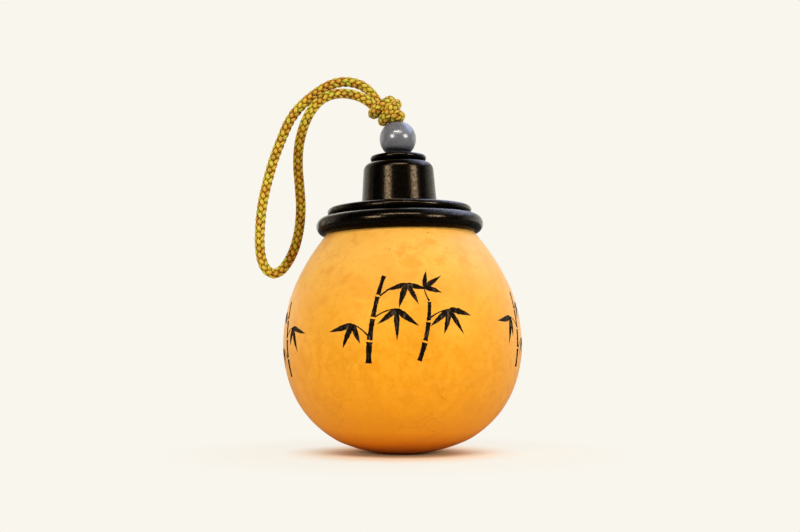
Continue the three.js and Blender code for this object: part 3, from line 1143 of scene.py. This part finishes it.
@dataclass
class BambooSpray:
    """A spray of bamboo carved into the skin: jointed culms, thin twigs and lens-shaped leaves."""

    azimuth: float
    height: float
    kind: SprayKind
    seed: int
    mirrored: bool = False
    joint_gap: float = 0.35
    cuts: list[Cut] = field(default_factory=list)

    def culm(self, start: tuple[float, float], end: tuple[float, float], bow: float,
             width: float, joints: int) -> None:
        """Cut a culm as a row of lengths with a small gap at each joint.

        Args:
            start: its foot, in mm from the spray's middle.
            end: its top.
            bow: how far its middle stands off the straight line, in mm.
            width: its width at the foot, in mm.
            joints: how many lengths it has.
        """
        gap = self.joint_gap / np.linalg.norm(np.subtract(end, start))
        for i in range(joints):
            shares = np.linspace(i / joints + gap, (i + 1) / joints - gap, 15)
            flare = 1 + 0.22 * np.abs(np.linspace(-1, 1, 15)) ** 3
            taper = 1 - 0.3 * (i / joints)
            self.cuts.append(Cut(bowed(start, end, bow, shares), tuple(width * taper * flare)))

    def twig(self, start: tuple[float, float], end: tuple[float, float], sag: float,
             width: float = 0.75) -> None:
        """Cut a thin twig that bends a little and thins towards its end.

        Args:
            start: where it leaves the culm, in mm from the spray's middle.
            end: its tip.
            sag: how far its middle stands off the straight line, in mm.
            width: its width at the start, in mm.
        """
        shares = np.linspace(0, 1, 10)
        self.cuts.append(Cut(bowed(start, end, sag, shares), tuple(width * (1 - 0.45 * shares))))

    def leaf(self, base: tuple[float, float], heading: float, length: float,
             width: float, curl: float) -> None:
        """Cut a leaf that swells quickly from its stalk and runs out to a long point.

        Args:
            base: the stalk's end, in mm from the spray's middle.
            heading: the way it points in degrees, 0 to the right and 90 upwards.
            length: its length, in mm.
            width: its greatest width, in mm.
            curl: how far its point bends aside, in mm.
        """
        a = math.radians(heading)
        ahead = np.array([math.cos(a), math.sin(a)])
        sideways = np.array([-math.sin(a), math.cos(a)])
        shares = np.linspace(0, 1, 19)
        line = [tuple(np.array(base) + ahead * length * t + sideways * curl * t * t)
                for t in shares]
        widths = [max(0.1, width * math.sin(math.pi * t ** 0.62) ** 0.85) for t in shares]
        self.cuts.append(Cut(tuple(line), tuple(widths)))

    def leaves(self, at: tuple[float, float], headings: Sequence[float], length: float,
               rng: random.Random) -> None:
        """Cut a group of leaves that hang from the end of a twig.

        Args:
            at: the twig's end, in mm from the spray's middle.
            headings: the way each leaf points, in degrees.
            length: the leaves' length, in mm.
            rng: the source of their small differences.
        """
        for heading in headings:
            self.leaf(at, heading + rng.uniform(-6, 6), length * rng.uniform(0.78, 1.15),
                      rng.uniform(1.9, 2.5), rng.uniform(-1.2, 1.2))

    def draw(self) -> list[Cut]:
        """Lay out the spray's cuts.

        Returns:
            The cuts, mirrored where the spray is.
        """
        rng = random.Random(self.seed)
        self.cuts.clear()
        if self.kind is SprayKind.BROAD:
            self.culm((-12.5, -16.0), (-7.0, 15.5), 1.0, 2.2, 4)
            self.culm((5.0, -15.5), (9.5, 5.5), -0.8, 1.8, 3)
            self.twig((-8.4, 7.6), (1.5, 12.0), 0.8)
            self.twig((-11.2, -7.8), (-18.0, -2.0), -0.6)
            self.twig((-10.0, 0.2), (-2.5, 3.0), 0.5)
            self.twig((8.2, -1.5), (16.5, 2.5), 0.7)
            self.twig((9.5, 5.5), (8.0, 10.5), 0.4)
            self.leaves((1.5, 12.0), (-155, -108, -62, -18), 10.0, rng)
            self.leaves((-18.0, -2.0), (-165, -118, -76), 9.0, rng)
            self.leaves((-2.5, 3.0), (-135, -92, -48), 10.0, rng)
            self.leaves((16.5, 2.5), (-140, -95, -55, -10), 10.0, rng)
            self.leaves((8.0, 10.5), (-12, 32, 78), 8.0, rng)
        else:
            self.culm((-1.5, -14.5), (1.5, 14.0), 0.8, 2.0, 4)
            self.twig((0.9, 6.8), (7.0, 10.0), 0.6)
            self.twig((0.1, -0.2), (-6.5, 4.0), -0.6)
            self.twig((-0.7, -7.4), (6.0, -3.5), 0.5)
            self.leaves((7.0, 10.0), (-130, -85, -45), 9.0, rng)
            self.leaves((-6.5, 4.0), (-160, -115, -75), 9.0, rng)
            self.leaves((6.0, -3.5), (-120, -80, -40), 8.5, rng)
        side = -1 if self.mirrored else 1
        return [Cut(tuple((side * x, y) for x, y in c.line),
                    tuple(w * rng.uniform(0.88, 1.12) for w in c.widths)) for c in self.cuts]


@dataclass
class GourdShell:
    """The hollow dried gourd with its bored mouth, worn foot and carved, inked sprays."""

    outline_points: tuple[tuple[float, float], ...] = (
        (0, 0), (8, 0.5), (15, 1.9), (20.5, 3.6), (25.8, 6.0), (31.8, 10.4), (37.2, 16.3),
        (41.4, 23.7), (44.0, 32.2), (44.9, 40.7), (44.2, 49.3), (42.0, 58.9), (38.5, 67.2),
        (34.0, 74.9), (28.7, 82.2), (26.9, 84.5))
    wall: float = 4.0
    out_of_round: float = 0.008
    mouth_radius: float = 22.5
    mouth_height: float = 84.5
    rim_edge: float = 0.3
    sides: int = 288
    rows: int = 150
    inner_rows: int = 44
    cut_depth: float = 0.55
    inked_depths: tuple[float, float] = (0.09, 1.4)
    inked_heights: tuple[float, float] = (8.0, 82.0)
    inner_depth: float = 3.0
    skin: DriedGourdSkin = DriedGourdSkin()
    sprays: tuple[BambooSpray, ...] = field(default_factory=lambda: (
        BambooSpray(0.6, 50.0, SprayKind.BROAD, 4),
        BambooSpray(71.0, 46.0, SprayKind.SLENDER, 11),
        BambooSpray(-71.0, 44.0, SprayKind.SLENDER, 7, mirrored=True),
        BambooSpray(125.0, 47.0, SprayKind.SLENDER, 23, mirrored=True),
        BambooSpray(180.0, 50.0, SprayKind.BROAD, 31, mirrored=True),
        BambooSpray(-125.0, 46.0, SprayKind.SLENDER, 19),
    ))

    def __post_init__(self) -> None:
        """Run the smooth outline through its points, by length."""
        p = np.array(self.outline_points, float)
        fine = []
        for i in range(len(p) - 1):
            a, b, c, d = p[max(i - 1, 0)], p[i], p[i + 1], p[min(i + 2, len(p) - 1)]
            v, w = (c - a) / 2, (d - b) / 2
            for t in np.linspace(0, 1, 40, endpoint=False):
                fine.append((2 * b - 2 * c + v + w) * t ** 3 + (-3 * b + 3 * c - 2 * v - w) * t * t
                            + v * t + b)
        fine.append(p[-1])
        self.fine = np.array(fine)
        steps = np.linalg.norm(np.diff(self.fine, axis=0), axis=1)
        self.run = np.concatenate([[0.0], np.cumsum(steps)])

    def outline_at(self, run: float | np.ndarray) -> np.ndarray:
        """The outside at a length along its outline.

        Args:
            run: the length, or several of them, in mm from the bottom.

        Returns:
            Radius and height, in mm, in the last axis.
        """
        return np.stack([np.interp(run, self.run, self.fine[:, i]) for i in (0, 1)], axis=-1)

    def uneven(self, x: np.ndarray, y: np.ndarray, z: np.ndarray) -> np.ndarray:
        """How much narrower than round the gourd grew at a place.

        Args:
            x: the place to the right of the axis, in mm.
            y: the place behind it, in mm.
            z: the height, in mm.

        Returns:
            The share of the round radius that is left.
        """
        share = np.sin(np.pi * np.clip(z / self.mouth_height, 0, 1)) ** 2
        return 1 - self.out_of_round * (1 - np.cos(2 * np.arctan2(y, x))) * share

    def on_skin(self, azimuth: float, run: float, lift: float) -> Vector:
        """A point on the skin.

        Args:
            azimuth: the way round in radians, from the front.
            run: length along the outline, in mm.
            lift: how far the point stands off the skin, in mm.

        Returns:
            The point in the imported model's frame, in metres.
        """
        (r, z), (ra, za), (rb, zb) = (self.outline_at(run + d) for d in (0, -0.2, 0.2))
        tangent = np.array([rb - ra, zb - za])
        tangent /= np.linalg.norm(tangent)
        r, z = r + tangent[1] * lift, z - tangent[0] * lift
        x, y = r * math.sin(azimuth), -r * math.cos(azimuth)
        k = float(self.uneven(np.array(x), np.array(y), np.array(z)))
        return STANCE.place @ (Vector((x * k, y * k, z)) * MM)

    def outline(self) -> Outline:
        """The shell's whole outline, from the bottom over the rim and down the inside.

        Returns:
            Radius and height of each point, in mm.
        """
        outside = [tuple(p) for p in self.outline_at(np.linspace(0, self.run[-1], self.rows))]
        outside[0] = (0.0, 0.0)
        here = self.outline_at(np.linspace(0, self.run[-1], self.inner_rows + 1))
        inside = []
        for i in range(1, self.inner_rows):
            along = here[i + 1] - here[i - 1]
            along /= np.linalg.norm(along)
            r, z = here[i][0] - along[1] * self.wall, here[i][1] + along[0] * self.wall
            if r > 0.5 and (r > self.mouth_radius or z < STANCE.belly_height):
                inside.append((r, z))
        shoulder = inside[-1][1] + 0.5
        rim = [(self.mouth_radius + self.rim_edge, self.mouth_height),
               (self.mouth_radius, self.mouth_height - self.rim_edge),
               (self.mouth_radius, shoulder)]
        return outside + rim + inside[::-1] + [(0.0, self.wall)]

    def shell(self, material: bpy.types.Material) -> bpy.types.Object:
        """Turn the shell, let it grow uneven and wear its foot flat.

        Args:
            material: the skin's finish.

        Returns:
            The plain shell.
        """
        made = turned("gourd_skin", self.outline(), self.sides, Matrix.Identity(4), material, 35)
        p = points_of(made.data) / MM
        p[:, :2] *= self.uneven(p[:, 0], p[:, 1], p[:, 2])[:, None]
        place = np.array(STANCE.place)
        p = p * MM @ place[:3, :3].T + place[:3, 3]
        p[:, 2] = np.maximum(p[:, 2], 0.0)
        made.data.vertices.foreach_set("co", p.ravel())
        made.data.update()
        return made

    def knife(self, cut: Cut, spray: BambooSpray) -> bpy.types.Object:
        """Make the closed solid that one cut takes away.

        Args:
            cut: the cut's line and widths.
            spray: the spray that it belongs to.

        Returns:
            The solid, which straddles the skin.
        """
        middle = float(np.interp(spray.height, self.fine[:, 1], self.run))
        round_mm = float(self.outline_at(middle)[0])
        line = np.array(cut.line)
        ahead = way_along(line)
        sideways = np.stack([-ahead[:, 1], ahead[:, 0]], axis=1)
        points = []
        for (x, y), (sx, sy), width in zip(line, sideways, cut.widths):
            deep = self.cut_depth * min(1.0, 0.35 + width / 1.6)
            for share, lift in ((0.62, 0.7), (-0.62, 0.7), (-0.3, -deep), (0.3, -deep)):
                px, py = x + sx * width * share, y + sy * width * share
                azimuth = math.radians(spray.azimuth) + px / round_mm
                points.append(self.on_skin(azimuth, middle + py, lift))
        faces = [(0, 1, 2, 3)]
        for i in range(len(line) - 1):
            for j in range(4):
                k = (j + 1) % 4
                faces.append((4 * i + j, 4 * i + 4 + j, 4 * i + 4 + k, 4 * i + k))
        last = 4 * (len(line) - 1)
        faces.append((last + 3, last + 2, last + 1, last))
        return plain_mesh("cut", points, faces)

    def carve(self, shell: bpy.types.Object) -> int:
        """Cut every spray into the skin.

        Args:
            shell: the plain shell.

        Returns:
            How many cuts were made.
        """
        cutters = bpy.data.collections.new("cuts")
        bpy.context.scene.collection.children.link(cutters)
        for spray in self.sprays:
            for cut in spray.draw():
                tool = self.knife(cut, spray)
                bpy.context.scene.collection.objects.unlink(tool)
                cutters.objects.link(tool)
        carving = shell.modifiers.new("carving", "BOOLEAN")
        carving.operation = "DIFFERENCE"
        carving.operand_type = "COLLECTION"
        carving.collection = cutters
        carving.solver = "MANIFOLD"
        graph = bpy.context.evaluated_depsgraph_get()
        carved = bpy.data.meshes.new_from_object(shell.evaluated_get(graph))
        shell.modifiers.remove(carving)
        plain = shell.data
        shell.data = carved
        bpy.data.meshes.remove(plain)
        count = len(cutters.objects)
        for tool in list(cutters.objects):
            data = tool.data
            bpy.data.objects.remove(tool)
            bpy.data.meshes.remove(data)
        bpy.data.collections.remove(cutters)
        return count

    def mark(self, shell: bpy.types.Object) -> None:
        """Store on each face whether it is inked, and whether it is the inner wall.

        Args:
            shell: the carved shell.
        """
        mesh = shell.data
        back = np.array(STANCE.place.inverted())
        p = (points_of(mesh) @ back[:3, :3].T + back[:3, 3]) / MM
        p[:, :2] /= self.uneven(p[:, 0], p[:, 1], p[:, 2])[:, None]
        place = np.stack([np.hypot(p[:, 0], p[:, 1]), p[:, 2]], axis=1)
        skin = self.outline_at(np.linspace(0, self.run[-1], 1200))
        ahead = way_along(skin)
        depth = np.empty(len(place))
        batch = 4000
        for i in range(0, len(place), batch):
            far = place[i:i + batch, None, :] - skin[None, :, :]
            near = (far ** 2).sum(2).argmin(1)
            off = far[np.arange(len(near)), near]
            depth[i:i + batch] = ahead[near, 0] * off[:, 1] - ahead[near, 1] * off[:, 0]
        cut = np.ones(len(place), bool)
        for value, (least, most) in ((depth, self.inked_depths), (p[:, 2], self.inked_heights)):
            cut &= (value > least) & (value < most)
        inner = depth > self.inner_depth
        inked = mesh.attributes.new("inked", "FLOAT", "FACE")
        wall = mesh.attributes.new("inner_wall", "FLOAT", "FACE")
        for face in mesh.polygons:
            corners = list(face.vertices)
            inked.data[face.index].value = float(cut[corners].any())
            wall.data[face.index].value = float(inner[corners].all())

    def build(self) -> None:
        """Build, carve and dress the gourd."""
        shell = self.shell(self.skin.material())
        count = self.carve(shell)
        self.mark(shell)
        shell.data.shade_smooth()
        shell.data.set_sharp_from_angle(angle=math.radians(32))
        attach(shell, BODY)
        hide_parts("gourd_shell")
        log.info("gourd: %d cuts, %d faces", count, len(shell.data.polygons))


# ---------------------------------------------------------------------------------------------
# The turned top and the bead
# ---------------------------------------------------------------------------------------------


@dataclass
class TurnedTop:
    """The collar on the gourd's mouth and the lid with its plug, flange, grip and ring."""

    # all sizes in mm, along the jar's own axis
    gap: float = 0.35
    mouth_radius: float = 22.5
    mouth_height: float = 84.5
    collar_radius: float = 31.7
    collar_bottom: float = 82.4
    collar_top: float = 89.5
    collar_bore: float = 20.0
    sleeve_bottom: float = 78.4
    plug_bottom: float = 83.3
    flange_radius: float = 27.4
    flange_top: float = 92.9
    flange_rise: float = 1.1
    grip_foot: float = 14.3
    grip_head: float = 13.4
    grip_top: float = 110.2
    shoulder: float = 3.2
    ring_radius: float = 10.7
    ring_top: float = 112.9
    cord_hole: float = 2.35
    recess_radius: float = 6.2
    recess_top: float = 92.6
    sides: int = 192
    wood: LacqueredDarkWood = LacqueredDarkWood()

    def collar_outline(self) -> Outline:
        """The collar's closed outline: sleeve, channel, round edge and bore.

        Returns:
            Radius and height of each point, in mm.
        """
        edge = (self.collar_top - self.collar_bottom) / 2
        sleeve = self.mouth_radius - self.gap
        channel = self.mouth_height + self.gap
        return [
            (self.collar_bore, self.sleeve_bottom + 0.6),
            *corner(self.collar_bore + 0.6, self.sleeve_bottom + 0.6, 0.6, -180, -90, 5)[1:],
            *corner(sleeve - 0.4, self.sleeve_bottom + 0.4, 0.4, -90, 0, 4),
            (sleeve, channel), (27.4, channel),
            *corner(self.collar_radius - edge, self.collar_bottom + edge, edge, -73, 90, 34),
            *corner(self.collar_bore + 0.6, self.collar_top - 0.6, 0.6, 90, 180, 5),
        ]

    def lid_outline(self) -> Outline:
        """The lid's closed outline: recess, plug, flange, grip, shoulder and ring.

        Returns:
            Radius and height of each point, in mm.
        """
        bottom = self.collar_top + self.gap
        edge = (self.flange_top - bottom) / 2
        plug = self.collar_bore - self.gap
        ring_edge = 1.1
        top = self.flange_top + self.flange_rise
        fillet = 0.8
        return [
            (self.cord_hole, self.recess_top), (self.recess_radius, self.recess_top),
            (self.recess_radius, self.plug_bottom + 0.2),
            (self.recess_radius + 0.2, self.plug_bottom),
            *corner(plug - 0.8, self.plug_bottom + 0.8, 0.8, -90, 0, 5),
            (plug, bottom),
            *corner(self.flange_radius - edge, bottom + edge, edge, -90, 84, 18),
            *[(self.grip_foot + fillet - fillet * math.sin(a), top + fillet - fillet * math.cos(a))
              for a in np.linspace(0.06, math.pi / 2, 7)],
            *corner(self.grip_head - self.shoulder, self.grip_top - self.shoulder, self.shoulder,
                    2, 86, 16),
            (self.ring_radius - 1.05, self.grip_top + 0.2),
            *corner(self.ring_radius - ring_edge, self.ring_top - ring_edge, ring_edge,
                    -50, 90, 14),
            (self.cord_hole + 1.15, self.ring_top),
            (self.cord_hole + 1.0, self.ring_top - 0.06),
            (self.cord_hole + 0.08, self.ring_top - 0.72),
            (self.cord_hole, self.ring_top - 0.9),
        ]

    def build(self) -> None:
        """Turn and dress the collar and the lid."""
        wood = self.wood.material()
        for name, node, outline in (("turned_collar", "collar", self.collar_outline()),
                                    ("turned_lid", "lid", self.lid_outline())):
            piece = turned(name, outline, self.sides, STANCE.place, wood, 38)
            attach(piece, BODY)
            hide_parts(node)
            log.info("top: %s has %d faces", name, len(piece.data.polygons))


@dataclass
class StoneBead:
    """The round stone bead on the lid, drilled for the cord."""

    radius: float = 7.0
    centre: float = 119.4
    bore: float = 2.35
    sides: int = 128
    stone: PolishedAgate = PolishedAgate()

    def build(self) -> None:
        """Turn and dress the bead."""
        lip = self.bore + 0.22
        tilt = math.degrees(math.acos(lip / self.radius))
        outside = corner(0, self.centre, self.radius, -tilt, tilt, 60)
        half = self.radius * math.sin(math.radians(tilt)) - 0.25
        outline = outside + [(self.bore, self.centre + half), (self.bore, self.centre - half)]
        bead = turned("stone_bead", outline, self.sides, STANCE.place, self.stone.material(), 35)
        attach(bead, BODY)
        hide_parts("bead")
        log.info("bead: %d faces", len(bead.data.polygons))


def main() -> None:
    """Build the scene piece by piece."""
    logging.basicConfig(level=logging.INFO, format="%(name)s: %(message)s")
    Studio().build()
    CarryingCord().build()
    GourdShell().build()
    TurnedTop().build()
    StoneBead().build()


if __name__ == "__main__":
    main()
